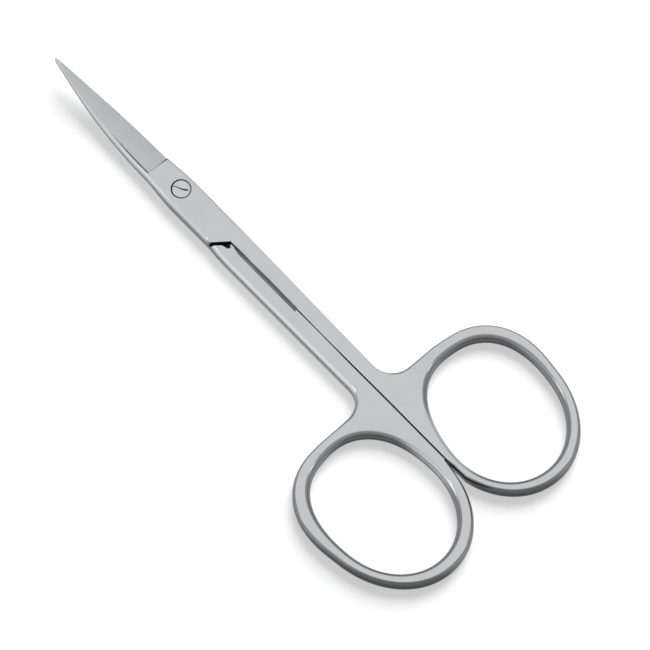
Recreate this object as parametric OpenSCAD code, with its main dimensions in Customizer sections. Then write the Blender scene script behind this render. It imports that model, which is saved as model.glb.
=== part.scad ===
// Curved cuticle scissors: two forged halves that cross at one slotted screw.
// Millimetres, +Z up, lying flat. The screw axis is the Z axis, the blades point along +X,
// and the upper half's finger ring lies on the -Y side.

/* [Forged stock] */
// Thickness of the closed tool, from the face it lies on to its top face
stock_t = 2.3; // [2.2:0.1:3.2]
// Distance from the screw to the centre line between the two finger rings
centre_off = 0.5; // [0.3:0.05:0.6]
// Distance from the screw to the centre line of the closed blades and plates
blade_off = 0.3; // [0.2:0.05:0.5]
// Distance from the screw to the line where the two handles meet
parting_off = 0.33; // [0.2:0.01:0.5]
// Gap between the handles where they meet when closed
meet_gap = 0.14; // [0.08:0.02:0.3]
// Running gap between the sliding faces of the two halves
slide_gap = 0.05; // [0.03:0.01:0.08]

/* [Blades] */
// Distance from the screw to the tips
tip_x = 24.9; // [20:0.1:30]
// Distance from the screw to the shoulder where the ground blade face starts
plunge_x = 4.65; // [3.5:0.05:5.5]
// Height that the curve lifts the tips
tip_rise = 3; // [1:0.1:4]
// Thickness of one blade at its tip
tip_t = 0.45; // [0.3:0.05:0.7]
// Half width of the closed blades at the shoulder
root_half_w = 2.12; // [1.9:0.02:2.3]
// Radius of the rounded tip, seen from above
tip_r = 0.16; // [0.12:0.01:0.25]
// Fullness of the blade outline, where a higher number is rounder
blade_fullness = 1.92; // [1.5:0.02:2.4]
// Distance that each cutting edge stays inside the other blade's back, at the shoulder
edge_inset = 0.2; // [0.1:0.02:0.3]
// Flat strip left between the rounded back and the ground face, at the shoulder
strip_extra = 0.15; // [0:0.05:0.4]
// Fall of the ground face toward the cutting edge, in degrees
bevel_angle = 9.5; // [6:0.5:11]
// Depth of the ground face below the back of the blade at the shoulder
bevel_step = 0.12; // [0.06:0.01:0.2]
// Depth of the ground face below the back of the blade at the tip
bevel_tip_step = 0.03; // [0.01:0.01:0.06]

/* [Pivot plates and shanks] */
// Half width of the pivot plates
plate_half_w = 2.2; // [2.1:0.05:2.6]
// Distance from the screw to the outer end of a plate's slanted back edge
notch_outer_x = 8.2; // [7:0.1:9]
// Distance from the screw to the inner end of a plate's slanted back edge
notch_inner_x = 10.2; // [9.5:0.1:12]
// Width of the slot between a plate's back edge and the shoulder behind it
notch_w = 0.5; // [0.3:0.05:0.8]
// Width of a shank at its narrow end, from the centre line
shank_end_w = 2.15; // [1.9:0.05:2.5]
// Depth of the relief in the lower half's inner edge
relief_w = 0.38; // [0.2:0.02:0.6]
// Distance from the screw to the far end of that relief
relief_end_x = 23.6; // [16:0.2:30]
// Rounding along the upper outer edges of plates, shanks and blade backs
edge_r = 0.33; // [0.2:0.01:0.45]
// Rounding along the lower outer edges of plates and shanks
under_r = 0.55; // [0.3:0.05:0.7]
// Rounding along the inner edges of the handles
inner_edge_r = 0.08; // [0.05:0.01:0.12]

/* [Finger rings] */
// Thickness of the finger rings
ring_t = 2.5; // [2.2:0.1:3]
// Distance from the screw to the middle of each finger hole, along the tool
ring_x = 52.55; // [48:0.05:58]
// Distance from the centre line to the middle of each finger hole
ring_y = 10.25; // [9.8:0.05:12]
// Length of a finger hole
hole_l = 21.4; // [19:0.1:23]
// Width of a finger hole
hole_w = 16.8; // [15:0.1:17.4]
// Angle by which the finger holes lean toward each other at the tail
ring_lean = 5.8; // [3:0.2:8]
// Squareness of a finger hole, where 2 is a plain ellipse
hole_square = 2.22; // [2:0.02:2.5]
// Width of the ring's band at its sides
band_side_w = 1.9; // [1.6:0.05:2.3]
// Width of the ring's band at its front end, next to the shank
band_front_w = 2.05; // [1.6:0.05:2.8]
// Width of the ring's band at the tail
band_tail_w = 2.25; // [1.9:0.05:2.8]
// Extra width of the band at its front outer corner
corner_w = 0.3; // [0:0.05:0.6]
// Distance by which the lower half's ring stands farther out than the upper half's
lower_ring_out = 0.15; // [0:0.05:0.3]
// Rounding of the band's edges, seen from above
band_edge_r = 0.58; // [0.4:0.02:0.75]
// Radius of the hollow where a shank flares into its ring
flare_r = 3.3; // [2:0.1:4]

/* [Screw] */
// Diameter of the screw head
head_d = 2.6; // [2.4:0.05:2.8]
// Thickness of the screw head
head_t = 0.6; // [0.4:0.05:0.7]
// Diameter of the screw's shank and thread
screw_d = 1.7; // [1.4:0.05:1.9]
// Radial clearance round the shank and the head in the upper half
pivot_clear = 0.06; // [0.03:0.01:0.08]
// Depth by which the thread bites into the lower half
thread_bite = 0.03; // [0.01:0.01:0.05]
// Width of the screwdriver slot
slot_w = 0.26; // [0.18:0.02:0.4]
// Depth of the screwdriver slot
slot_depth = 0.32; // [0.2:0.02:0.4]
// Direction of the screwdriver slot
slot_angle = 32.6; // [0:1:180]
// Chamfer round the screw's end, which is ground flush with the lower face
end_chamfer = 0.1; // [0.05:0.01:0.2]
// Chamfer round the screw's head
head_chamfer = 0.08; // [0.04:0.01:0.15]

/* [Hidden] */

steel = [0.76, 0.77, 0.78];
screw_steel = [0.70, 0.71, 0.73];

mid_z = stock_t / 2;
blade_l = tip_x - plunge_x;
taper = mid_z - tip_t;
band_edge_z = 0.48 * ring_t;
blade_shift = centre_off - blade_off;
bevel_slope = tan(bevel_angle);
bevel_fade = bevel_step - bevel_tip_step;
upper_inner = centre_off - parting_off + meet_gap / 2;
lower_inner = parting_off - centre_off + meet_gap / 2;

// Rounding left on a ground cutting edge and on the back at the tip, and how far a cut runs past
cut_edge_r = 0.02;
tip_edge_r = 0.04;
past = 2;

// How finely the curves are divided
blade_steps = 22;
plate_steps = 5;
shank_steps = 6;
flare_steps = 4;
meet_steps = 8;
band_steps = 52;
front_steps = 4;
web_steps = 3;
edge_steps = 4;
curve_steps = 14;

// Position along the blade, 0 at the shoulder and 1 at the tip
function along(x) = max(0, min(1, (x - plunge_x) / blade_l));
function mix(a, b, q) = a + (b - a) * q;
function smooth(q) = q * q * (3 - 2 * q);

// Height of the sliding faces at a distance from the screw axis
function slide_z(r) = mid_z + tip_rise * pow(max(0, (r - plunge_x) / blade_l), 2);
function top_z(x) = mid_z + tip_rise * pow(along(x), 2) + mid_z - taper * along(x)
    + (ring_t - stock_t) * smooth(max(0, min(1, (shank_end_x - x) / ring_blend_l)));
function low_z(x) = mid_z + tip_rise * pow(along(x), 2) - mid_z + taper * along(x);

// Half width of the closed tool from the blades to the shanks
function tip_round(x) = sqrt(1 - pow(0.8 * max(0, (x - tip_x + tip_r) / tip_r), 2));
function blade_w(x) = (root_half_w - tip_r) * (1 - pow(along(x), blade_fullness)) + tip_r * tip_round(x);
function plate_w(x) = x > 0 ? mix(plate_half_w, root_half_w, x / plunge_x) : plate_half_w;
function shank_q(x) = smooth((-x - notch_inner_x) / (-flare_x - notch_inner_x));
function shank_w(x) = mix(plate_half_w, shank_end_w, shank_q(x));
function blade_inset(x) = edge_inset * (1 - 0.85 * along(x));
function strip_w(x) = 1.15 * back_edge_r(x) + strip_extra * (1 - along(x));
function back_edge_r(x) = mix(edge_r, tip_edge_r, pow(along(x), 2));

// Finger hole as a rounded oval about its own middle, and its outward normal
function hole_power(t) = hole_square + 0.15 * cos(t);
function hole_r(t) = pow(pow(abs(2 * cos(t) / hole_l), hole_power(t))
    + pow(abs(2 * sin(t) / hole_w), hole_power(t)), -1 / hole_power(t));
function hole_at(t) = [-ring_x, ring_y] + hole_r(t) * [cos(t + ring_lean), sin(t + ring_lean)];
function unit(v) = v / norm(v);
function hole_normal(t) = let (d = hole_at(t + 0.5) - hole_at(t - 0.5)) unit([d[1], -d[0]]);
function band_w(t) = cos(t) > 0
    ? mix(band_side_w, band_front_w, pow(cos(t), 2)) + corner_w * pow(max(0, sin(2 * t)), 1.5)
    : mix(band_side_w, band_tail_w, pow(cos(t), 4));
function band_at(t) = hole_at(t) + band_w(t) * hole_normal(t);

// Hole directions at which the band points straight ahead and straight at the other ring
hole_ratio = pow(hole_w / hole_l, 2);
front_t = -atan(hole_ratio * tan(ring_lean));
side_t = atan(hole_ratio / tan(ring_lean)) - 180;
throat_t = -42;
flare_t = -24;
front_x = band_at(front_t)[0];
flare_x = front_x + flare_r;
flare_y = shank_end_w + flare_r;
function flare_at(a) = [flare_x - flare_r * sin(a), flare_y - flare_r * cos(a)];
throat_x = flare_at(45)[0];
shank_end_x = flare_x + flare_r;
ring_blend_l = 3 * flare_r;

// Stations from the tip back to the throat behind the flare
function blade_x(i) = tip_x - blade_l * pow(i / blade_steps, 1.2);
function plate_x(i) = mix(plunge_x - 0.2, -notch_outer_x, i / plate_steps);
function shank_x(i) = mix(-notch_inner_x, flare_x, i / shank_steps);

// Each outline point is x, y, the edge rounding seen from above, the same seen from the side, and
// how much larger the rounding is underneath. The shift sets blade and plate off the ring's centre line.
function back_side(inner, shift) = [
    for (i = [0:blade_steps]) let (x = blade_x(i)) [x, shift - blade_w(x), back_edge_r(x), back_edge_r(x), 1],
    for (i = [0:plate_steps]) let (x = plate_x(i)) [x, shift - plate_w(x), edge_r, edge_r, under(i)],
    for (i = [0:shank_steps]) [shank_x(i), inner, inner_edge_r, inner_edge_r, 1],
    for (i = [1:flare_steps]) [flare_at(45 * i / flare_steps)[0], inner, inner_edge_r, inner_edge_r, 1]
];
function front_side(shift) = [
    for (i = [0:blade_steps]) let (x = blade_x(i))
        [x, shift + blade_w(x) - blade_inset(x), cut_edge_r, cut_edge_r, 1],
    for (i = [0:plate_steps]) let (x = plate_x(i)) [x, shift + plate_w(x), edge_r, edge_r, under(i)],
    for (i = [0:shank_steps]) let (x = shank_x(i))
        [x, shank_w(x) + shift * (1 - shank_q(x)), edge_r, edge_r, under_r / edge_r],
    for (i = [1:flare_steps]) let (p = flare_at(45 * i / flare_steps))
        [p[0], p[1], edge_r, edge_r, under_r / edge_r]
];
function under(i) = mix(1, under_r / edge_r, min(1, i / 2));
// The ring's outside, from the throat past the tail and back to the flare, with a hole direction last
function ring_side(inner, out) = [
    for (i = [1:meet_steps]) let (q = i / meet_steps)
        [mix(throat_x, band_at(side_t)[0], q), inner,
         mix(inner_edge_r, band_edge_r, smooth(q)), mix(inner_edge_r, band_edge_z, smooth(q)), 1,
         mix(throat_t, side_t, q)],
    for (i = [1:band_steps]) let (t = mix(side_t, front_t - 360, i / band_steps), p = band_at(t))
        [p[0], max(p[1] + out, inner), band_edge_r, band_edge_z, 1, t],
    for (i = [1:web_steps]) let (q = i / web_steps)
        [front_x, mix(band_at(front_t)[1] + out, flare_y, q), mix(band_edge_r, edge_r, 0.7 * q),
         mix(band_edge_z, edge_r, 0.7 * q), 1, mix(front_t, flare_t, 0.5 * q) - 360],
    for (i = [1:flare_steps - 1]) let (q = i / flare_steps, p = flare_at(90 - 45 * q))
        [p[0], p[1], mix(band_edge_r, edge_r, 0.7 + 0.3 * q), mix(band_edge_z, edge_r, 0.7 + 0.3 * q),
         mix(1, under_r / edge_r, q), mix(front_t, flare_t, 0.5 + 0.5 * q) - 360]
];

// Height levels of a rounded edge: how far in from the outline, and how far below the top
edge_levels = [for (i = [0:edge_steps]) [1 - sin(90 * i / edge_steps), 1 - cos(90 * i / edge_steps)]];
level_count = 2 * (edge_steps + 1);
function edge_point(p, n, level) = let (
    down = level <= edge_steps,
    e = edge_levels[down ? level : level_count - 1 - level],
    size = down ? 1 : p[4],
    xy = [p[0], p[1]] - n * e[0] * p[2] * size)
    [xy[0], xy[1], down ? top_z(p[0]) - e[1] * p[3] : low_z(p[0]) + e[1] * p[3] * size];

function reversed(v) = [for (i = [len(v) - 1:-1:0]) v[i]];
function left_of(a, b) = let (d = unit([b[0] - a[0], b[1] - a[1]])) [-d[1], d[0]];

// One forged blank, without its ground faces: blade, plate, shank and ring, with the ring toward +Y
module forging(inner, shift, out) {
    back = back_side(inner, shift);
    ring = ring_side(inner, out);
    loop = concat(back, ring, reversed(front_side(shift)));
    count = len(loop);
    last_back = len(back) - 1;
    ring_count = len(ring) + 1;
    hole_t = concat([throat_t], [for (p = ring) p[5]],
        [for (i = [0:front_steps - 1]) mix(flare_t, throat_t, i / front_steps) - 360]);
    hole_count = len(hole_t);
    band = [band_edge_r, band_edge_z, 1];
    outer_points = [for (i = [0:count - 1], k = [0:level_count - 1])
        edge_point(loop[i], left_of(loop[(i + count - 1) % count], loop[(i + 1) % count]), k)];
    hole_points = [for (t = hole_t, k = [0:level_count - 1])
        edge_point(concat(hole_at(t) + [0, out], band), -hole_normal(t), k)];

    function o(i, k) = (i % count) * level_count + k;
    function h(i, k) = (count + i % hole_count) * level_count + k;
    function other(j) = count - 1 - j;
    function quad(a, b, c, d) = [[a, b, c], [a, c, d]];
    function flip(f) = [f[2], f[1], f[0]];
    function cap(k) = [
        for (j = [0:last_back - 1]) each quad(o(j, k), o(j + 1, k), o(other(j + 1), k), o(other(j), k)),
        for (i = [0:ring_count - 1]) each quad(o(last_back + i, k), o(last_back + i + 1, k),
            h(i + 1, k), h(i, k)),
        [o(other(last_back), k), o(last_back, k), h(hole_count, k)],
        for (i = [hole_count:-1:ring_count + 1]) [o(other(last_back), k), h(i, k), h(i - 1, k)]
    ];
    walls = [
        for (i = [0:count - 1], k = [0:level_count - 2])
            each quad(o(i, k), o(i, k + 1), o(i + 1, k + 1), o(i + 1, k)),
        for (i = [0:hole_count - 1], k = [0:level_count - 2])
            each quad(h(i, k), h(i + 1, k), h(i + 1, k + 1), h(i, k + 1))
    ];
    polyhedron(
        points = concat(outer_points, hole_points),
        faces = concat(cap(0), walls, [for (f = cap(level_count - 1)) flip(f)]));
}

// Places a half drawn with its ring toward +Y: the lower half as drawn, the upper half mirrored.
// The offset is the centre line that it is drawn about.
module as_lower(offset) translate([0, offset, 0]) children();
module as_upper(offset) translate([0, offset, 0]) mirror([0, 1, 0]) children();

// Room that the other half's plate and blade sweep, below (side = -1) or above (side = 1)
module lap(side) {
    far_z = side < 0 ? -past : stock_t + tip_rise + past;
    face = side * -slide_gap / 2;
    reach = tip_x + past;
    rotate_extrude(angle = 180, start = -90, $fn = 96)
        polygon([[0, far_z], [0, mid_z + face],
            for (i = [0:curve_steps]) let (r = mix(plunge_x, reach, i / curve_steps)) [r, slide_z(r) + face],
            [reach, far_z]]);
    if (side < 0) as_upper(blade_off) rear_lap(far_z, mid_z + face);
    else as_lower(blade_off) rear_lap(far_z, mid_z + face);
}

// The flat part of that room, back to the slanted shoulder
module rear_lap(z_a, z_b) {
    run = (notch_inner_x - notch_outer_x) / plate_half_w;
    slot = notch_w * sqrt(1 + run * run);
    function shoulder(y) = -notch_inner_x - slot + run * y;
    translate([0, 0, min(z_a, z_b)]) linear_extrude(abs(z_b - z_a))
        polygon([[0, -plate_half_w - past], [0, plate_half_w + past],
            [shoulder(plate_half_w + past), plate_half_w + past], [shoulder(0), 0],
            [shoulder(0), -plate_half_w - past]]);
}

// Plan of the ground blade face, from the rounded back to past the cutting edge
module bevel_plan() {
    polygon([
        for (i = [0:blade_steps]) let (x = blade_x(blade_steps - i)) [x, strip_w(x) - blade_w(x)],
        [tip_x + past, 0], [tip_x + past, root_half_w + past], [plunge_x, root_half_w + past]
    ]);
}

// A grinding wheel's rim under or over the blade, as a lying cylinder that follows the curve
module wheel(rise, fall, z_start, lean) {
    wheel_r = blade_l * blade_l / (2 * rise);
    low_q = fall / (2 * rise);
    translate([plunge_x + low_q * blade_l, -root_half_w, z_start - rise * low_q * low_q])
        rotate([lean, 0, 0]) translate([0, 0, wheel_r]) rotate([90, 0, 0])
            cylinder(r = wheel_r, h = 8 * root_half_w, center = true, $fn = 360);
}

module upper_bevel() {
    lean_rise = bevel_slope * root_half_w;
    intersection() {
        translate([0, 0, mid_z]) linear_extrude(stock_t + tip_rise) bevel_plan();
        wheel(tip_rise + lean_rise, taper - bevel_fade, stock_t - bevel_step, -bevel_angle);
    }
}

module lower_bevel() {
    lean_rise = bevel_slope * root_half_w;
    difference() {
        translate([0, 0, -past]) linear_extrude(past + mid_z + tip_rise) bevel_plan();
        wheel(tip_rise - lean_rise, bevel_fade - taper, bevel_step, bevel_angle);
    }
}

// The half with its face up: screw head seat and plain bore
module upper_half() {
    color(steel) difference() {
        as_upper(centre_off) forging(upper_inner, blade_shift, 0);
        lap(-1);
        as_upper(blade_off) upper_bevel();
        translate([0, 0, -past]) cylinder(d = screw_d + 2 * pivot_clear, h = stock_t + 2 * past, $fn = 48);
        translate([0, 0, stock_t - head_t])
            cylinder(d = head_d + 2 * pivot_clear, h = head_t + past, $fn = 64);
    }
}

// The half underneath: tapped bore, and the relief in the handle's inner edge
module lower_half() {
    relief_start = notch_inner_x + notch_w;
    color(steel) difference() {
        as_lower(centre_off) forging(lower_inner, -blade_shift, lower_ring_out);
        lap(1);
        as_lower(blade_off) lower_bevel();
        translate([0, 0, -past]) cylinder(d = screw_d - 2 * thread_bite, h = stock_t + 2 * past, $fn = 48);
        translate([-relief_end_x, parting_off - past, -past])
            cube([relief_end_x - relief_start, past + meet_gap / 2 + relief_w, stock_t + 2 * past]);
    }
}

// Slotted screw: its head is flush with the upper half, its thread holds in the lower half
module pivot_screw() {
    color(screw_steel) difference() {
        rotate_extrude($fn = 64) polygon([
            [0, 0], [screw_d / 2 - end_chamfer, 0], [screw_d / 2, end_chamfer],
            [screw_d / 2, stock_t - head_t], [head_d / 2, stock_t - head_t],
            [head_d / 2, stock_t - head_chamfer], [head_d / 2 - head_chamfer, stock_t], [0, stock_t]]);
        translate([0, 0, stock_t]) rotate(slot_angle)
            cube([head_d + past, slot_w, 2 * slot_depth], center = true);
    }
}

upper_half();
lower_half();
pivot_screw();
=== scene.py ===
import math

import bmesh
import bpy
import numpy as np
from mathutils import Matrix, Vector


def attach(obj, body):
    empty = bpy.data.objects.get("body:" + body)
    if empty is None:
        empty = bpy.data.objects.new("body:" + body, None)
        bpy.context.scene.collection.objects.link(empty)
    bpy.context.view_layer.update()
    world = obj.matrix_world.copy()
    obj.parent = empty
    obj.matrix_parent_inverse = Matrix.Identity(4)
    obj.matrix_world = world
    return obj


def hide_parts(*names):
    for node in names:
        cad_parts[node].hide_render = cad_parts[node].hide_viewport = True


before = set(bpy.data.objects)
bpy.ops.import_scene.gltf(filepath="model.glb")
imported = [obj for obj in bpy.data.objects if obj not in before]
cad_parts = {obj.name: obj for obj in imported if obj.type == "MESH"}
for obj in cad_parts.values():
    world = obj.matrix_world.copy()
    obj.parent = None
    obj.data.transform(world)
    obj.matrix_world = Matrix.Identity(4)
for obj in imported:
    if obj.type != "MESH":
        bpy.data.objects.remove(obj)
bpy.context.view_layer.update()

# Lengths are in millimetres, as in the part, and MM turns them into the scene's metres
MM = 0.001

# Forged stock, and the lines that the halves are laid out about
stock_t = 2.3
centre_off = 0.5
blade_off = 0.3
parting_off = 0.33
meet_gap = 0.14
slide_gap = 0.05
mid_z = stock_t / 2
blade_shift = centre_off - blade_off
upper_inner = centre_off - parting_off + meet_gap / 2
lower_inner = parting_off - centre_off + meet_gap / 2

# Blades. The plunge is the shoulder where the ground facet ends and the pivot plate begins
tip_x = 24.9
plunge_x = 4.65
plunge_l = 0.2
tip_rise = 3
tip_t = 0.45
tip_r = 0.16
tip_fullness = 0.8
root_half_w = 2.12
blade_fullness = 1.92
cut_edge_r = 0.02
tip_edge_r = 0.04
blade_l = tip_x - plunge_x
taper = mid_z - tip_t

# How far a cutting edge stays inside the other blade's back, at the plunge and from inset_l on, with the
# share of it that is lost toward the tip, and the share of the plate over which it fades out
root_inset = 0.08
edge_inset = 0.2
inset_l = 5
tip_inset_loss = 0.85
plate_inset_q = 0.25

# Ground facet, and the strip that it leaves along the back, in edge radii and in millimetres
bevel_angle = math.radians(9.5)
bevel_step = 0.12
bevel_tip_step = 0.03
bevel_fade = bevel_step - bevel_tip_step
strip_radii = 1.15
strip_extra = 0.15

# Pivot plates and shanks
plate_half_w = 2.38
notch_outer_x = 8.2
notch_inner_x = 10.2
notch_w = 0.5
notch_end_q = 0.94
corner_l = 0.4
corner_haste = 1.1
shank_end_w = 2.3
lower_shank_extra = 0.2
extra_l = 3

# Rounded edges of plates and shanks. On the underside an edge's radius is a share of the one on top
edge_r = 0.42
edge_power = 1.2
notch_edge_r = 0.06
inner_edge_r = 0.15
under_r = 0.55
under_share = under_r / edge_r
plunge_under_share = 2.6
back_under_q = 0.4
front_under_q = 0.5

# Stretch in which the handles lie closer together, between the relief and the flare
meet_close = 0.045
close_start_l = 2
close_end_x = 29
close_end_l = 6

# Finger rings
ring_t = 2.5
ring_x = 52.55
ring_y = 10.25
hole_l = 21.4
hole_w = 16.8
ring_lean = math.radians(5.8)
hole_square = 2.22
hole_square_front = 0.15
band_side_w = 1.9
band_front_w = 2.05
band_front_power = 2
band_tail_w = 2.25
band_tail_power = 4
corner_w = 0.3
corner_power = 1.5
lower_ring_out = 0.15
band_edge_r = 0.5
band_edge_z = 0.48 * ring_t
hole_edge_r = 1.0
band_power = 1.9
parting_q = 0.07
web_q = 0.7
flare_r = 3.3
ring_gain_l = 3 * flare_r

# How far the hole's and the band's edge of each ring, filed by hand, lie off the even form: outward all
# round, toward the ring's front, away from the other ring, and toward the front outer corner
lower_hole_trim = (-0.05, 0.05, -0.05, -0.13)
lower_band_trim = (-0.05, 0.05, -0.05, 0.05)
upper_hole_trim = (-0.1, -0.15, -0.15, 0.15)
upper_band_trim = (-0.15, 0.05, -0.2, 0)

# Line that the wheel's rim scored beside the upper blade's back
rim_line_start = 0.1
rim_line_end_x = 13.6
rim_line_in = 0.03
rim_line_up = 0.05
rim_line_w = 0.32
rim_line_depth = 0.2
rim_line_least_w = 0.02
rim_line_least_depth = 0.01
rim_line_fade_power = 3

# Line across the plunge, as x, y, z and width
plunge_line_depth_share = 0.6
plunge_line = ((4.56, -1.97, 1.78, 0.3), (4.6, -1.46, 2.28, 0.36), (4.63, -1.0, 2.28, 0.36),
               (4.65, -0.5, 2.28, 0.3), (4.65, 0.1, 2.28, 0.2), (4.64, 0.8, 2.28, 0.12),
               (4.62, 1.3, 2.28, 0.03))

# Pocket that the notch opens into, and the relief filed along the lower shank's inner edge
pocket_depth = 0.35
pocket = ((-8.15, 2.6), (-10.2, 0.2), (-10.73, 0.3), (-10.86, 0.9), (-10.78, 1.25), (-10.44, 1.4),
          (-9.93, 1.5), (-8.55, 2.55))
relief_end_x = 23.6
relief_start_x = 10.9
relief_full_x = 12.3
relief_start_y = 0.5
relief_y = 0.83

# How squarely a wall has to face along an axis to be painted as the plate's slanted end or as the relief
slant_facing_x = -0.65
slant_facing_y = 0.3
relief_facing_y = 0.6

# Screw
head_d = 2.6
head_t = 0.6
head_edge = 0.13
head_power = 1.6
crown = 0.01
screw_d = 1.7
end_chamfer = 0.1
thread_bite = 0.03
pivot_clear = 0.06
head_gap = 0.11
seat_off = 0.05
slot_depth = 0.32
slot_path = ((1.06, 0.58, 0.1), (0.58, 0.27, 0.13), (0.05, 0.08, 0.16), (-0.41, -0.2, 0.24),
             (-0.76, -0.51, 0.25))

# How finely the meshes are divided, and how far a cut runs past the steel
blade_steps = 72
tip_crowding = 1.2
plate_steps = 24
corner_steps = 6
shank_steps = 16
flare_steps = 14
meet_steps = 24
band_steps = 180
front_steps = 14
web_steps = 10
edge_steps = 8
across_steps = 5
lap_rows = 18
lap_columns = 110
bevel_columns = 16
rim_line_steps = 24
groove_sides = 10
bore_sides = 96
head_sides = 128
head_edge_steps = 6
crown_steps = 8
past = 2

# Painted shade on the walls, as shares of the flats' brightness. How level a surface lies, from 0 to 1,
# tells a wall from a flat. Ring walls get the darkest painted shade where they face along one level
# direction, either way
ring_level = (0.86, 0.965)
ring_wall_shade = 0.4
dark_turn = math.radians(-42.5)
dark_facing = Vector((math.cos(dark_turn), math.sin(dark_turn), 0))
dark_facing_range = (0.5, 0.85)
dark_facing_shade = 0.46
shank_level = (0.55, 0.95)
shank_wall_shade = 0.88
plate_wall_shade = 0.6
plate_end_range = (-12, -8)
ring_start_range = (-41, -35)

# Where the rings part the walls are painted lighter, against the shade between the rings: beside the
# parting, and ahead of the rings' tails
meeting_painted_light_y_range = (1.6, 3.4)
meeting_painted_light_x_range = (-59, -55)
meeting_painted_light_share = 0.75

# Grain, mottling and softened edges of all the steels, and the painted shade across the ground facet's
# width
grain_scale = 9000
grain_range = (0.25, 0.75)
grain_roughness = 0.04
grain_strength = 0.05
grain_height = 0.004
mottle_scale = 260
mottle_range = (0.3, 0.7)
soft_edge_r = 0.05
painted_facet_shade_y_range = (-2.2, 2.4)
painted_facet_shade_tones = (0.95, 1.07)

# The photograph looks down at the flat tool from this elevation, with its blades toward the upper left
elevation = math.radians(68)
parting_slope = math.radians(45.3)
px_per_mm = 7.4
screw_px = (181.3, 188.6)
image_px = 650
sensor = 36
lens = 1600
clip_start_m = 0.1
clip_end_m = 50

turn = math.atan2(math.sin(parting_slope) / math.sin(elevation), math.cos(parting_slope))
right = Vector((-math.cos(turn), -math.sin(turn), 0))
away = Vector((math.sin(turn), -math.cos(turn), 0))
up = away * math.sin(elevation) + Vector((0, 0, math.cos(elevation)))
back = -away * math.cos(elevation) + Vector((0, 0, math.sin(elevation)))

# Studio
lamp_distance_m = 0.6
lamp_aim_x = -15
table_half_m = 1.5
table_drop = 0.02
table_tone = 0.5
table_lift = 0.51
ambient = 0.2
ambient_colour = (0.97, 0.985, 1, 1)


def mix(a, b, q):
    return a + (b - a) * q


def smooth(q):
    q = min(1, max(0, q))
    return q * q * (3 - 2 * q)


def along(x):
    """Share of the way from the plunge to the tip."""
    return max(0, min(1, (x - plunge_x) / blade_l))


def slide_z(r):
    """Height of the surface on which the halves slide, at a distance from the screw."""
    return mid_z + tip_rise * max(0, (r - plunge_x) / blade_l) ** 2


def top_z(x):
    rise = tip_rise * along(x) ** 2
    ring_gain = (ring_t - stock_t) * smooth((shank_end_x - x) / ring_gain_l)
    return stock_t + rise - taper * along(x) + ring_gain


def low_z(x):
    return tip_rise * along(x) ** 2 + taper * along(x)


def blade_w(x):
    rounding = math.sqrt(1 - (tip_fullness * max(0, (x - tip_x + tip_r) / tip_r)) ** 2)
    return (root_half_w - tip_r) * (1 - along(x) ** blade_fullness) + tip_r * rounding


def plate_w(x):
    return mix(plate_half_w, root_half_w, x / plunge_x) if x > 0 else plate_half_w


def shank_q(x):
    return smooth((-x - notch_inner_x) / (-flare_x - notch_inner_x))


def extra_w(x, extra):
    return extra * smooth((-x - notch_outer_x) / extra_l) * (1 - shank_q(x))


def back_edge_r(x):
    return mix(edge_r, tip_edge_r, along(x) ** 2)


def strip_w(x):
    return strip_radii * back_edge_r(x) + strip_extra * (1 - along(x))


def trimmed(trim, t):
    outward, forward, aside, skewed = trim
    reach = outward + forward * math.cos(t) + aside * math.sin(t) + skewed * math.sin(2 * t)
    return reach * hole_normal(t)


def hole_at(t):
    power = hole_square + hole_square_front * math.cos(t)
    inverse = abs(2 * math.cos(t) / hole_l) ** power + abs(2 * math.sin(t) / hole_w) ** power
    r = inverse ** (-1 / power)
    return Vector((-ring_x + r * math.cos(t + ring_lean), ring_y + r * math.sin(t + ring_lean)))


def hole_normal(t, step=0.005):
    d = hole_at(t + step) - hole_at(t - step)
    return Vector((d.y, -d.x)).normalized()


def band_at(t):
    front = math.cos(t) > 0
    if front:
        width = mix(band_side_w, band_front_w, math.cos(t) ** band_front_power)
        width += corner_w * max(0, math.sin(2 * t)) ** corner_power
    else:
        width = mix(band_side_w, band_tail_w, math.cos(t) ** band_tail_power)
    return hole_at(t) + width * hole_normal(t)


hole_ratio = (hole_w / hole_l) ** 2
front_t = -math.atan(hole_ratio * math.tan(ring_lean))
side_t = math.atan(hole_ratio / math.tan(ring_lean)) - math.pi
throat_t = math.radians(-42)
flare_t = math.radians(-24)
front_x = band_at(front_t).x
flare_x = front_x + flare_r
flare_y = shank_end_w + flare_r
shank_end_x = flare_x + flare_r


def flare_at(q):
    a = math.radians(90 * q)
    return flare_x - flare_r * math.sin(a), flare_y - flare_r * math.cos(a)


def steps(count, first=0, last=0):
    """Shares of the way from 0 to 1, with a choice of where to start and stop."""
    return [i / count for i in range(first, count + 1 + last)]


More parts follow.
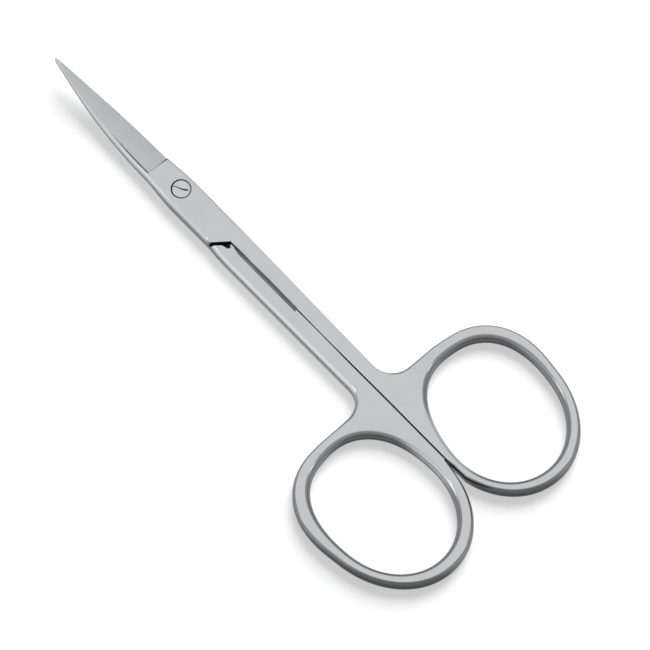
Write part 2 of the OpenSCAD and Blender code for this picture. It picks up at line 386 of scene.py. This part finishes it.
def back_side(inner, shift):
    """The blade's back, the plate, its slanted end and the handle's inner edge, from tip to throat.

    Each point is x, y, the edge's radius in plan and in height, and the underside's share of them."""
    side = []
    for q in steps(blade_steps):
        x = tip_x - blade_l * q ** tip_crowding
        side.append((x, shift - blade_w(x), back_edge_r(x), back_edge_r(x), 1))
    for q in steps(plate_steps):
        x = mix(plunge_x - plunge_l, -notch_outer_x + corner_l, q)
        under = mix(1, under_share, smooth(q / back_under_q))
        side.append((x, shift - plate_w(x), edge_r, edge_r, under))
    end = Vector((notch_outer_x - notch_inner_x, inner + plate_half_w - shift)).normalized()
    for q in steps(corner_steps, 1):
        x = -notch_outer_x + (1 - q) ** 2 * corner_l + q * q * corner_l * end.x
        y = shift - plate_half_w + q * q * corner_l * end.y
        r = mix(edge_r, notch_edge_r, smooth(q * corner_haste))
        side.append((x, y, r, r, 1))
    x = mix(-notch_outer_x, -notch_inner_x, notch_end_q)
    y = mix(shift - plate_half_w, inner, notch_end_q)
    side.append((x, y, notch_edge_r, notch_edge_r, 1))
    for q in steps(shank_steps):
        x = mix(-notch_inner_x, flare_x, q)
        near = smooth((-x - relief_end_x) / close_start_l) * (1 - smooth((-x - close_end_x) / close_end_l))
        side.append((x, inner - meet_close * near, inner_edge_r, inner_edge_r, 1))
    for q in steps(flare_steps, 1):
        side.append((flare_at(q / 2)[0], inner, inner_edge_r, inner_edge_r, 1))
    return side


def front_side(shift, extra):
    """The cutting edge, and the outer edge of plate and shank, up to the middle of the flare."""
    side = []
    for q in steps(blade_steps):
        x = tip_x - blade_l * q ** tip_crowding
        inset = mix(root_inset, edge_inset, smooth((x - plunge_x) / inset_l))
        inset *= 1 - tip_inset_loss * along(x)
        r, under = (edge_r, plunge_under_share) if q == 1 else (cut_edge_r, 1)
        side.append((x, shift + blade_w(x) - inset, r, r, under))
    for q in steps(plate_steps):
        x = mix(plunge_x - plunge_l, -notch_outer_x + corner_l, q)
        w = shift + plate_w(x) - root_inset * smooth(1 - q / plate_inset_q)
        side.append((x, w, edge_r, edge_r, mix(plunge_under_share, under_share, smooth(q / front_under_q))))
    for q in steps(corner_steps + 1, 1):
        x = mix(-notch_outer_x + corner_l, mix(-notch_outer_x, -notch_inner_x, notch_end_q), q)
        side.append((x, plate_half_w + shift + extra_w(x, extra), edge_r, edge_r, under_share))
    for q in steps(shank_steps):
        x = mix(-notch_inner_x, flare_x, q)
        w = mix(plate_half_w, shank_end_w, shank_q(x)) + shift * (1 - shank_q(x)) + extra_w(x, extra)
        side.append((x, w, edge_r, edge_r, under_share))
    for q in steps(flare_steps, 1):
        side.append((*flare_at(q / 2), edge_r, edge_r, under_share))
    return side


def ring_side(inner, out, band_trim):
    """The ring's outside, from the throat round the tail and back to the flare.

    Each point comes with the hole's direction that it is joined to across the ring's flat."""
    side, hole_t = [], []
    throat_x = flare_at(0.5)[0]
    for q in steps(meet_steps, 1):
        side.append((mix(throat_x, band_at(side_t).x, q), inner, inner_edge_r, inner_edge_r, 1))
        hole_t.append(mix(throat_t, side_t, q))
    for q in steps(band_steps, 1):
        t = mix(side_t, front_t - 2 * math.pi, q)
        p = band_at(t) + trimmed(band_trim, t)
        s = smooth(q / parting_q)
        r_plan = mix(inner_edge_r, band_edge_r, s)
        r_side = mix(inner_edge_r, band_edge_z, s)
        side.append((p.x, max(p.y + out, inner), r_plan, r_side, 1))
        hole_t.append(t)
    for q in steps(web_steps, 1):
        s = web_q * q
        y = mix(band_at(front_t).y + out, flare_y, q)
        side.append((front_x, y, mix(band_edge_r, edge_r, s), mix(band_edge_z, edge_r, s), 1))
        hole_t.append(mix(front_t, flare_t, 0.5 * q) - 2 * math.pi)
    for q in steps(flare_steps, 1, -1):
        s = mix(web_q, 1, q)
        side.append((*flare_at(1 - q / 2), mix(band_edge_r, edge_r, s), mix(band_edge_z, edge_r, s),
                     mix(1, under_share, q)))
        hole_t.append(mix(front_t, flare_t, 0.5 + 0.5 * q) - 2 * math.pi)
    return side, hole_t


def edge_column(p, n):
    """Points down a rounded edge, from the top face over the wall to the underside."""
    x, y, r_plan, r_side, under = p
    column = []
    flatness = 2 / mix(edge_power, band_power, smooth((r_side - edge_r) / (band_edge_z - edge_r)))
    for q in steps(edge_steps):
        a = q * math.pi / 2
        s = (1 - math.sin(a) ** flatness) * r_plan
        fall = (1 - math.cos(a) ** flatness) * r_side
        column.append((x - n.x * s, y - n.y * s, top_z(x) - fall))
    for q in steps(edge_steps):
        a = (1 - q) * math.pi / 2
        s = (1 - math.sin(a)) * under * r_plan
        rise = (1 - math.cos(a)) * under * r_side
        column.append((x - n.x * s, y - n.y * s, low_z(x) + rise))
    return column


def forging(inner, shift, out, extra, hole_trim, band_trim):
    """One forged blank with smooth rounded edges, as points and faces, with its ring toward +Y."""
    back, front = back_side(inner, shift), front_side(shift, extra)
    ring, ring_t_list = ring_side(inner, out, band_trim)
    loop = back + ring + front[::-1]
    count, last_back, ring_count = len(loop), len(back) - 1, len(ring) + 1
    hole_t = [throat_t] + ring_t_list
    hole_t += [mix(flare_t, throat_t, q) - 2 * math.pi for q in steps(front_steps, 0, -1)]
    points, faces, levels = [], [], 2 * (edge_steps + 1)
    for i, p in enumerate(loop):
        a, b = loop[i - 1], loop[(i + 1) % count]
        d = Vector((b[0] - a[0], b[1] - a[1])).normalized()
        points += edge_column(p, Vector((-d.y, d.x)))
    for t in hole_t:
        x, y = hole_at(t) + trimmed(hole_trim, t)
        points += edge_column((x, y + out, hole_edge_r, band_edge_z, 1), -hole_normal(t))

    def outer(i, k):
        return (i % count) * levels + k

    def hole(i, k):
        return (count + i % len(hole_t)) * levels + k

    for i in range(count):
        for k in range(levels - 1):
            faces.append((outer(i, k), outer(i, k + 1), outer(i + 1, k + 1), outer(i + 1, k)))
    for i in range(len(hole_t)):
        for k in range(levels - 1):
            faces.append((hole(i, k), hole(i + 1, k), hole(i + 1, k + 1), hole(i, k + 1)))
    for k, surface, order in ((0, top_z, 1), (levels - 1, low_z, -1)):
        cap = []
        for j in range(last_back):
            cap.append((outer(j, k), outer(j + 1, k), outer(count - 2 - j, k), outer(count - 1 - j, k)))
        rows = []
        for i in range(ring_count + 1):
            rows.append(strip_row(points, outer(last_back + i, k), hole(i, k), surface))
        for a, b in zip(rows, rows[1:]):
            cap += [(a[s], b[s], b[s + 1], a[s + 1]) for s in range(across_steps)]
        corner = outer(count - 1 - last_back, k)
        cap.append((corner, *rows[0]))
        for i in range(len(hole_t), ring_count + 1, -1):
            cap.append((corner, hole(i, k), hole(i - 1, k)))
        cap.append((hole(ring_count + 1, k), *rows[ring_count][::-1]))
        faces += [f[::order] for f in cap]
    return points, faces


def strip_row(points, a, b, surface):
    """Point numbers from a to b across the ring's flat, with new points between them."""
    row = [a]
    pa, pb = Vector(points[a]), Vector(points[b])
    for q in steps(across_steps, 1, -1):
        x, y, z = pa.lerp(pb, q)
        lift = surface(x) - mix(surface(pa.x), surface(pb.x), q)
        points.append((x, y, z + lift))
        row.append(len(points) - 1)
    return row + [b]


def new_object(name, points, faces, place=lambda p: p):
    """A closed mesh in metres from points in millimetres, with its normals outward."""
    mesh = bpy.data.meshes.new(name)
    mesh.from_pydata([Vector(place(p)) * MM for p in points], [], faces)
    work = bmesh.new()
    work.from_mesh(mesh)
    bmesh.ops.recalc_face_normals(work, faces=work.faces)
    work.to_mesh(mesh)
    work.free()
    made = bpy.data.objects.new(name, mesh)
    bpy.context.scene.collection.objects.link(made)
    return made


def prism_over(rows, surface, far_z):
    """Closed solid between a curved surface over rows of plan points and a level far from it."""
    width = len(rows[0])
    flat = [p for row in rows for p in row]
    size = len(flat)
    points = [(x, y, surface(x, y)) for x, y in flat] + [(x, y, far_z) for x, y in flat]
    faces = []
    for r in range(len(rows) - 1):
        for c in range(width - 1):
            a = r * width + c
            quad = (a, a + 1, a + width + 1, a + width)
            faces += [quad, tuple(size + i for i in quad[::-1])]
    rim = [(c, c + 1) for c in range(width - 1)]
    rim += [((r + 1) * width - 1, (r + 2) * width - 1) for r in range(len(rows) - 1)]
    rim += [(size - 1 - c, size - 2 - c) for c in range(width - 1)]
    rim += [((r + 1) * width, r * width) for r in range(len(rows) - 1)]
    faces += [(b, a, size + a, size + b) for a, b in rim]
    return points, faces


def lap(side):
    """Room that the other half's plate and blade sweep, from the sliding face outward."""
    far_z = -past if side < 0 else stock_t + tip_rise + past
    face = -side * slide_gap / 2
    run = (notch_inner_x - notch_outer_x) / plate_half_w
    slot = notch_w * math.sqrt(1 + run * run)
    reach = plate_half_w + past
    rows = []
    for y in [*np.linspace(-reach, 0, lap_rows), *np.linspace(0, reach, lap_rows + 1)[1:]]:
        shoulder = -notch_inner_x - slot + run * max(0, y)
        rows.append([(shoulder, y)] + [(x, y) for x in np.linspace(0, tip_x + past, lap_columns)])

    def surface(x, y):
        return face + (slide_z(math.hypot(x, y)) if x > 0 else mid_z)

    return prism_over(rows, surface, far_z)


def bevel_surface(upper):
    """Height of the ground facet on a blade's outer face: a wheel's rim, leant over."""
    lean_rise = math.tan(bevel_angle) * root_half_w
    rise = tip_rise + (lean_rise if upper else -lean_rise)
    fall = (taper - bevel_fade) * (1 if upper else -1)
    start = stock_t - bevel_step if upper else bevel_step
    lean = -bevel_angle if upper else bevel_angle
    wheel_r = blade_l ** 2 / (2 * rise)
    low_q = fall / (2 * rise)

    def surface(x, y):
        u = x - plunge_x - low_q * blade_l
        w = wheel_r - math.sqrt(wheel_r ** 2 - u * u)
        v = (y + root_half_w + w * math.sin(lean)) / math.cos(lean)
        return start - rise * low_q ** 2 + v * math.sin(lean) + w * math.cos(lean)

    return surface


def bevel(upper):
    """What grinding takes off a blade's outer face, between the facet and the open air."""
    surface = bevel_surface(upper)
    reach = root_half_w + past
    rows = []
    for q in steps(blade_steps):
        x = plunge_x + blade_l * (1 - (1 - q) ** tip_crowding)
        rows.append([(x, y) for y in np.linspace(strip_w(x) - blade_w(x), reach, bevel_columns)])
    rows.append([(tip_x + past, y) for y in np.linspace(0, reach, bevel_columns)])
    return prism_over(rows, surface, stock_t + tip_rise + past if upper else -past)


def revolved(profile, count):
    """Closed solid of revolution about the screw axis, from its profile of radius and height."""
    points, faces = [], []
    for i in range(count):
        a = 2 * math.pi * i / count
        points += [(r * math.cos(a), r * math.sin(a), z) for r, z in profile]
    size = len(profile)
    for i in range(count):
        a, b = i * size, (i + 1) % count * size
        faces += [(a + k, b + k, b + k + 1, a + k + 1) for k in range(size - 1)]
    faces.append([i * size for i in range(count)][::-1])
    faces.append([i * size + size - 1 for i in range(count)])
    return points, faces


def bore(r, bottom, top, off=0):
    """Round hole on the screw axis, or a little off it in y."""
    points, faces = revolved([(r, bottom), (r, top)], bore_sides)
    return [(x, y + off, z) for x, y, z in points], faces


def prism(plan, bottom):
    """Upright solid over a plan outline, from a level to above the steel."""
    size = len(plan)
    points = [(x, y, bottom) for x, y in plan] + [(x, y, stock_t + past) for x, y in plan]
    faces = [(i, (i + 1) % size, size + (i + 1) % size, size + i) for i in range(size)]
    return points, faces + [tuple(range(size))[::-1], tuple(range(size, 2 * size))]


def path_normals(path):
    """Level unit normals along a path."""
    normals = []
    for i in range(len(path)):
        a, b = path[max(0, i - 1)], path[min(len(path) - 1, i + 1)]
        normals.append(Vector((a[1] - b[1], b[0] - a[0])).normalized())
    return normals


def ribbon(path):
    """Plan outline of a path of x, y and width."""
    normals = path_normals(path)
    left = [(x + n.x * w / 2, y + n.y * w / 2) for (x, y, w), n in zip(path, normals)]
    right = [(x - n.x * w / 2, y - n.y * w / 2) for (x, y, w), n in zip(path, normals)]
    return left + right[::-1]


def groove(path):
    """Closed tube along a path of x, y, z, width and depth, for a line scored into a surface."""
    points, faces = [], []
    for (x, y, z, width, depth), n in zip(path, path_normals(path)):
        for i in range(groove_sides):
            a = 2 * math.pi * i / groove_sides
            reach = math.cos(a) * width / 2
            points.append((x + n.x * reach, y + n.y * reach, z + math.sin(a) * depth))
    for r in range(len(path) - 1):
        a, b = r * groove_sides, (r + 1) * groove_sides
        for i in range(groove_sides):
            j = (i + 1) % groove_sides
            faces.append((a + i, a + j, b + j, b + i))
    size = len(points)
    return points, faces + [tuple(range(groove_sides))[::-1], tuple(range(size - groove_sides, size))]


def rim_line():
    """Line scored beside the back of the upper blade, from the plunge until it fades."""
    surface = bevel_surface(True)
    path = []
    for q in steps(rim_line_steps):
        x = mix(plunge_x + rim_line_start, rim_line_end_x, q)
        y = strip_w(x) - blade_w(x) + rim_line_in
        fade = 1 - q ** rim_line_fade_power
        width = max(rim_line_least_w, rim_line_w * fade)
        depth = max(rim_line_least_depth, rim_line_depth * fade)
        path.append((x, y, surface(x, y) + rim_line_up, width, depth))
    return path


def relief_plan():
    """Outline of the relief, which starts with a slant and runs open past the inner edge."""
    open_y = parting_off - past
    return ((-relief_end_x, open_y), (-relief_start_x, open_y), (-relief_start_x, relief_start_y),
            (-relief_full_x, relief_y), (-relief_end_x, relief_y))


def paint(piece, material, test):
    """Gives the faces whose centre in millimetres and normal pass the test another finish."""
    piece.data.materials.append(material)
    index = len(piece.data.materials) - 1
    for face in piece.data.polygons:
        if test(face.center / MM, face.normal):
            face.material_index = index


def cutter(material, shape, place=lambda p: p):
    made = new_object("cutter", *shape, place)
    made.data.materials.append(material)
    return made


def cut(target, tool):
    """Takes the tool out of the target. The new faces keep the tool's material."""
    modifier = target.modifiers.new("cut", "BOOLEAN")
    modifier.object = tool
    modifier.operation = "DIFFERENCE"
    modifier.solver = "EXACT"
    modifier.material_mode = "TRANSFER"
    bpy.context.view_layer.update()
    done = bpy.data.meshes.new_from_object(target.evaluated_get(bpy.context.evaluated_depsgraph_get()))
    target.modifiers.clear()
    target.data = done
    bpy.data.objects.remove(tool)


def finish_shading(piece, angle=28, weight=80):
    """Smooth shading with crisp edges where the steel was ground or cut."""
    piece.data.shade_smooth()
    piece.data.set_sharp_from_angle(angle=math.radians(angle))
    modifier = piece.modifiers.new("flat faces lead", "WEIGHTED_NORMAL")
    modifier.keep_sharp = True
    modifier.weight = weight


def as_lower(offset):
    return lambda p: (p[0], p[1] + offset, p[2])


def as_upper(offset):
    return lambda p: (p[0], offset - p[1], p[2])


def make_upper_half(forged, ground, bore_shade, crevice_shade, relief):
    blank = forging(upper_inner, blade_shift, 0, 0, upper_hole_trim, upper_band_trim)
    half = new_object("upper_half_steel", *blank, as_upper(centre_off))
    half.data.materials.append(forged)
    cut(half, cutter(ground, lap(-1), as_upper(blade_off)))
    cut(half, cutter(ground, bevel(True), as_upper(blade_off)))
    # The scored lines get near-black painted shade
    cut(half, cutter(crevice_shade, groove(rim_line()), as_upper(blade_off)))
    cut(half, cutter(crevice_shade, groove([(*p, plunge_line_depth_share * p[3]) for p in plunge_line])))
    # The bore and the head's seat get dark painted shade
    cut(half, cutter(bore_shade, bore(screw_d / 2 + pivot_clear, -past, stock_t)))
    cut(half, cutter(bore_shade, bore(head_d / 2 + head_gap, stock_t - head_t, stock_t + past, seat_off)))

    def slanted_end(centre, normal):
        within = -notch_inner_x < centre.x < -notch_outer_x
        return within and normal.x < slant_facing_x and normal.y > slant_facing_y

    def relieved_wall(centre, normal):
        within = -relief_end_x < centre.x < -notch_inner_x and centre.y < parting_off
        return within and normal.y > relief_facing_y

    # The plate's slanted end gets near-black painted shade
    paint(half, crevice_shade, slanted_end)
    # The relieved wall gets the relief's darker colour, which is painted shade
    paint(half, relief, relieved_wall)
    return half


def make_lower_half(forged, ground, bore_shade, crevice_shade, relief):
    blank = forging(lower_inner, -blade_shift, lower_ring_out, lower_shank_extra,
                    lower_hole_trim, lower_band_trim)
    half = new_object("lower_half_steel", *blank, as_lower(centre_off))
    half.data.materials.append(forged)
    cut(half, cutter(ground, lap(1), as_lower(blade_off)))
    cut(half, cutter(ground, bevel(False), as_lower(blade_off)))
    # The bore gets dark painted shade
    cut(half, cutter(bore_shade, bore(screw_d / 2 - thread_bite, -past, stock_t + past)))
    # The relief's faces get its darker colour, painted shade in the recess
    cut(half, cutter(relief, prism(relief_plan(), -past)))
    # The notch's pocket gets near-black painted shade
    cut(half, cutter(crevice_shade, prism(pocket, mid_z - pocket_depth)))
    return half


def make_screw(turned, bore_shade):
    """Slotted screw with a slightly crowned head and softened edges."""
    head_r, shank_r = head_d / 2, screw_d / 2
    seat_z = stock_t - head_t
    profile = [(shank_r - end_chamfer, 0), (shank_r, end_chamfer), (shank_r, seat_z), (head_r, seat_z)]
    for q in steps(head_edge_steps):
        a = q * math.pi / 2
        r = head_r - head_edge * (1 - math.cos(a) ** head_power)
        profile.append((r, stock_t - crown - head_edge * (1 - math.sin(a) ** head_power)))
    for q in steps(crown_steps, 1, -1):
        r = (head_r - head_edge) * (1 - q)
        profile.append((r, stock_t - crown * (r / head_r) ** 2))
    screw = new_object("pivot_screw_steel", *revolved(profile, head_sides))
    screw.data.materials.append(turned)
    # The slot gets dark painted shade
    cut(screw, cutter(bore_shade, prism(ribbon(slot_path), stock_t - slot_depth)))
    return screw


def node(tree, kind, **values):
    made = tree.nodes.new(kind)
    for key, value in values.items():
        if key in made.inputs:
            made.inputs[key].default_value = value
        else:
            setattr(made, key, value)
    return made


def feed(tree, socket, value):
    """Links a socket to another node's output, or sets it to a number."""
    if isinstance(value, bpy.types.NodeSocket):
        tree.links.new(value, socket)
    else:
        socket.default_value = value


def ramp(tree, value, low, high, first, last, kind="SMOOTHSTEP"):
    """Change from first to last while a value goes from low to high."""
    made = node(tree, "ShaderNodeMapRange", interpolation_type=kind)
    for key, number in (("Value", value), ("From Min", low), ("From Max", high),
                        ("To Min", first), ("To Max", last)):
        feed(tree, made.inputs[key], number)
    return made.outputs["Result"]


def ramp_mm(tree, value, low, high, first, last):
    """The same over a stretch in millimetres."""
    return ramp(tree, value, low * MM, high * MM, first, last)


def maths(tree, operation, *values):
    made = node(tree, "ShaderNodeMath", operation=operation)
    for socket, value in zip(made.inputs, values):
        feed(tree, socket, value)
    return made.outputs[0]


def blended(tree, share, first, last):
    made = node(tree, "ShaderNodeMix", data_type="FLOAT")
    for i, value in ((0, share), (2, first), (3, last)):
        feed(tree, made.inputs[i], value)
    return made.outputs[0]


def parts_of(tree, vector):
    split = node(tree, "ShaderNodeSeparateXYZ")
    tree.links.new(vector, split.inputs[0])
    return split.outputs


def painted_wall_shade(tree, place, level):
    """Painted shade on the walls, which come out darker than the flats: much darker on the rings, less on
    the rest.

    On the rings the walls that face along dark_facing, either way, get the darkest painted shade, and those
    beside the parting are painted lighter."""
    spot = parts_of(tree, place.outputs["Object"])
    facing = node(tree, "ShaderNodeVectorMath", operation="DOT_PRODUCT")
    facing.inputs[1].default_value = dark_facing
    tree.links.new(place.outputs["Normal"], facing.inputs[0])
    wall = ramp(tree, level, *ring_level, ring_wall_shade, 1)
    either_way = maths(tree, "ABSOLUTE", facing.outputs["Value"])
    facing_tone = ramp(tree, either_way, *dark_facing_range, 1, dark_facing_shade)
    # Painted light: beside the parting and ahead of the tails most of the walls' painted shade is taken off
    beside = ramp_mm(tree, maths(tree, "ABSOLUTE", spot["Y"]), *meeting_painted_light_y_range, 1, 0)
    ahead = ramp_mm(tree, spot["X"], *meeting_painted_light_x_range, 0, meeting_painted_light_share)
    meeting_painted_light = maths(tree, "MULTIPLY", beside, ahead)
    ring = blended(tree, meeting_painted_light, maths(tree, "MULTIPLY", wall, facing_tone), 1)
    shank_tone = ramp_mm(tree, spot["X"], *plate_end_range, shank_wall_shade, plate_wall_shade)
    shank = ramp(tree, level, *shank_level, shank_tone, 1)
    return blended(tree, ramp_mm(tree, spot["X"], *ring_start_range, 0, 1), ring, shank)


def painted_facet_shade_tone(tree, place):
    """Painted shade that changes slowly across the ground facet, from the cutting edge to the back."""
    return ramp_mm(tree, parts_of(tree, place.outputs["Object"])["Y"], *painted_facet_shade_y_range, *painted_facet_shade_tones)


def steel(name, colour, roughness, grain=(1, 1, 1), rings=False, painted_facet_shade=False, uneven=0.022, edge_tint=0.15):
    """Stainless steel with fine grain along one direction, faint mottling and softened edges, and on
    request painted shade on the walls or across the ground facet.
    """
    material = bpy.data.materials.new(name)
    material.use_nodes = True
    tree = material.node_tree
    shader = tree.nodes["Principled BSDF"]
    shader.inputs["Metallic"].default_value = 1
    shader.inputs["Specular Tint"].default_value = (edge_tint, edge_tint, edge_tint, 1)
    place = node(tree, "ShaderNodeTexCoord")
    stretch = node(tree, "ShaderNodeMapping", Scale=grain)
    tree.links.new(place.outputs["Object"], stretch.inputs["Vector"])
    fine = node(tree, "ShaderNodeTexNoise", Scale=grain_scale, Detail=4, Roughness=0.6)
    tree.links.new(stretch.outputs["Vector"], fine.inputs["Vector"])
    broad = node(tree, "ShaderNodeTexNoise", Scale=mottle_scale, Detail=5, Roughness=0.55)
    tree.links.new(place.outputs["Object"], broad.inputs["Vector"])
    mottle = node(tree, "ShaderNodeMix", data_type="RGBA")
    mottle.inputs[6].default_value = (*[c * (1 - uneven) for c in colour], 1)
    mottle.inputs[7].default_value = (*[c * (1 + uneven) for c in colour], 1)
    feed(tree, mottle.inputs[0], ramp(tree, broad.outputs["Fac"], *mottle_range, 0, 1, "LINEAR"))
    level = maths(tree, "ABSOLUTE", parts_of(tree, place.outputs["Normal"])["Z"])
    finish = mottle.outputs[2]
    # Painted shade scales the base colour: darker walls on the forged steel, a slow change across the
    # ground facet
    if rings or painted_facet_shade:
        shade = node(tree, "ShaderNodeVectorMath", operation="SCALE")
        tree.links.new(finish, shade.inputs[0])
        tone = painted_wall_shade(tree, place, level) if rings else painted_facet_shade_tone(tree, place)
        tree.links.new(tone, shade.inputs["Scale"])
        finish = shade.outputs[0]
    tree.links.new(finish, shader.inputs["Base Color"])
    smoothest, roughest = roughness - grain_roughness, roughness + grain_roughness
    rough = ramp(tree, fine.outputs["Fac"], *grain_range, smoothest, roughest, "LINEAR")
    tree.links.new(rough, shader.inputs["Roughness"])
    round_edges = node(tree, "ShaderNodeBevel", samples=6, Radius=soft_edge_r * MM)
    bump = node(tree, "ShaderNodeBump", Strength=grain_strength, Distance=grain_height * MM)
    tree.links.new(fine.outputs["Fac"], bump.inputs["Height"])
    tree.links.new(round_edges.outputs["Normal"], bump.inputs["Normal"])
    tree.links.new(bump.outputs["Normal"], shader.inputs["Normal"])
    return material


def seen_directly(tree):
    """1 for camera, glossy and transmission rays, so that steel reflects the background that shows."""
    path = node(tree, "ShaderNodeLightPath")
    either = maths(tree, "MAXIMUM", path.outputs["Is Camera Ray"], path.outputs["Is Glossy Ray"])
    return maths(tree, "MAXIMUM", either, path.outputs["Is Transmission Ray"])


def pick_shader(tree, share, first, last):
    made = node(tree, "ShaderNodeMixShader")
    for socket, value in zip(made.inputs, (share, first.outputs[0], last.outputs[0])):
        tree.links.new(value, socket)
    return made.outputs[0]


def make_world():
    world = bpy.context.scene.world or bpy.data.worlds.new("studio")
    bpy.context.scene.world = world
    world.use_nodes = True
    tree = world.node_tree
    tree.nodes.clear()
    white = node(tree, "ShaderNodeBackground", Color=(1, 1, 1, 1), Strength=1)
    dim = node(tree, "ShaderNodeBackground", Color=ambient_colour, Strength=ambient)
    blend = pick_shader(tree, seen_directly(tree), dim, white)
    tree.links.new(blend, node(tree, "ShaderNodeOutputWorld").inputs["Surface"])


def make_floor():
    """White table that lifts to pure white where the lamps reach it and keeps the tool's soft shadow."""
    half = table_half_m
    corners = [(-half, -half, 0), (half, -half, 0), (half, half, 0), (-half, half, 0)]
    mesh = bpy.data.meshes.new("floor")
    mesh.from_pydata(corners, [], [(0, 1, 2, 3)])
    floor = bpy.data.objects.new("floor", mesh)
    bpy.context.scene.collection.objects.link(floor)
    floor.location.z = -table_drop * MM
    material = bpy.data.materials.new("white_table")
    material.use_nodes = True
    tree = material.node_tree
    tree.nodes.clear()
    matt = node(tree, "ShaderNodeBsdfDiffuse", Color=(table_tone, table_tone, table_tone, 1))
    lift = node(tree, "ShaderNodeEmission", Color=(1, 1, 1, 1), Strength=table_lift)
    nothing = node(tree, "ShaderNodeEmission", Color=(0, 0, 0, 1), Strength=0)
    total = node(tree, "ShaderNodeAddShader")
    tree.links.new(matt.outputs[0], total.inputs[0])
    tree.links.new(pick_shader(tree, seen_directly(tree), nothing, lift), total.inputs[1])
    tree.links.new(total.outputs[0], node(tree, "ShaderNodeOutputMaterial").inputs["Surface"])
    mesh.materials.append(material)


def make_camera():
    across = (image_px / 2 - screw_px[0]) / px_per_mm
    down = (image_px / 2 - screw_px[1]) / px_per_mm
    target = Vector((0, 0, stock_t)) + right * across - up * down
    distance = lens / sensor * image_px / px_per_mm
    data = bpy.data.cameras.new("camera")
    data.lens, data.sensor_width = lens, sensor
    data.clip_start, data.clip_end = clip_start_m, clip_end_m
    camera = bpy.data.objects.new("camera", data)
    facing = Matrix((right, up, back)).transposed().to_4x4()
    camera.matrix_world = Matrix.Translation((target + back * distance) * MM) @ facing
    bpy.context.scene.collection.objects.link(camera)
    bpy.context.scene.camera = camera


def make_lamp(name, toward, height, size, watts, mirrored=True, lighting=True):
    """Soft box in a level direction from the tool, at a height angle in degrees."""
    a = math.radians(height)
    direction = (toward.normalized() * math.cos(a) + Vector((0, 0, math.sin(a)))).normalized()
    data = bpy.data.lights.new(name, "AREA")
    data.shape = "RECTANGLE"
    data.size, data.size_y = size
    data.energy = watts
    lamp = bpy.data.objects.new(name, data)
    lamp.location = Vector((lamp_aim_x * MM, 0, 0)) + direction * lamp_distance_m
    lamp.rotation_mode = "QUATERNION"
    lamp.rotation_quaternion = direction.to_track_quat("Z", "Y")
    lamp.visible_camera = False
    lamp.visible_glossy = mirrored
    lamp.visible_diffuse = lighting
    bpy.context.scene.collection.objects.link(lamp)


# Forged steel, with painted shade on its walls, darkest on the rings
forged = steel("forged_steel", (0.555, 0.562, 0.572), roughness=0.18, grain=(1, 6, 6), rings=True,
               edge_tint=0.6)
# Ground steel: its base colour is darker than the forged flats, partly its own finish and partly painted
# shade, and it gets painted shade across the facet
ground = steel("ground_steel", (0.465, 0.485, 0.495), roughness=0.22, grain=(6, 1, 6), painted_facet_shade=True)
turned = steel("turned_steel", (0.58, 0.59, 0.60), roughness=0.30)
# Near-black painted shade in the bores, the screw's seat and its slot
bore_shade = steel("bore_painted_shade", (0.12, 0.12, 0.125), roughness=0.45)
# Near-black painted shade in the scored lines, the notch's pocket and the plate's slanted end
crevice_shade = steel("crevice_painted_shade", (0.05, 0.05, 0.052), roughness=0.5, uneven=0.4)
# The relief's darker colour is painted shade in the recess
relief = steel("filed_relief_and_shade", (0.34, 0.34, 0.35), roughness=0.4, uneven=0.42, edge_tint=1)

upper_half = make_upper_half(forged, ground, bore_shade, crevice_shade, relief)
lower_half = make_lower_half(forged, ground, bore_shade, crevice_shade, relief)
screw = make_screw(turned, bore_shade)

for piece, node_name, body, slot in (
        (upper_half, "upper_half", "upper_arm", "forged_steel"),
        (lower_half, "lower_half", "lower_arm", "forged_steel"),
        (screw, "pivot_screw", "lower_arm", "screw_steel")):
    finish_shading(piece)
    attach(piece, body)
    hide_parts(node_name)

make_floor()
make_world()
make_lamp("key", right * 0.43 + away, height=48, size=(0.42, 0.42), watts=5.5, mirrored=False)
make_lamp("left_strip", -right - away * 0.45, height=20, size=(0.5, 0.35), watts=0.2, lighting=False)
make_lamp("left_streak", -right - away * 0.11, height=35.6, size=(0.1, 0.1), watts=0.2, lighting=False)
make_lamp("right_streak", right - away * 0.11, height=35.6, size=(0.1, 0.1), watts=0.15, lighting=False)
make_camera()
bpy.context.scene.view_settings.view_transform = "Standard"
